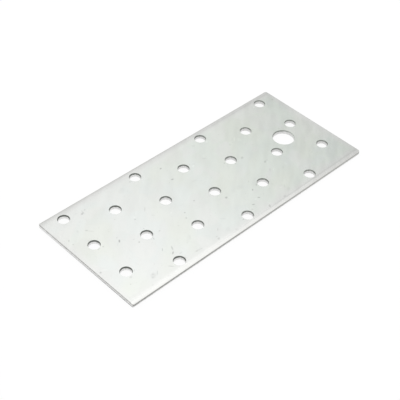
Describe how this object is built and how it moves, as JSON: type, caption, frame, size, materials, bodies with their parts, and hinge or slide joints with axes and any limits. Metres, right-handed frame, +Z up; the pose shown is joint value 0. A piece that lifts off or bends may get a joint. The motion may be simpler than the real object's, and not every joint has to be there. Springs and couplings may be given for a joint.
{
  "type": "mending plate",
  "caption": "Flat perforated steel mending plate with a staggered field of nail holes and a larger bolt hole near its end.",
  "frame": {"origin": "middle of the underside", "axes": "+X along the length towards the large hole, +Z up, away from the face the plate lies on"},
  "size_m": [0.139, 0.06, 0.002],
  "materials": {
    "galvanised_steel": "satin hot-dip zinc coat with faint cloudy spangle"
  },
  "bodies": {
    "root": {"mending_plate": "galvanised_steel"}
  },
  "joints": []
}
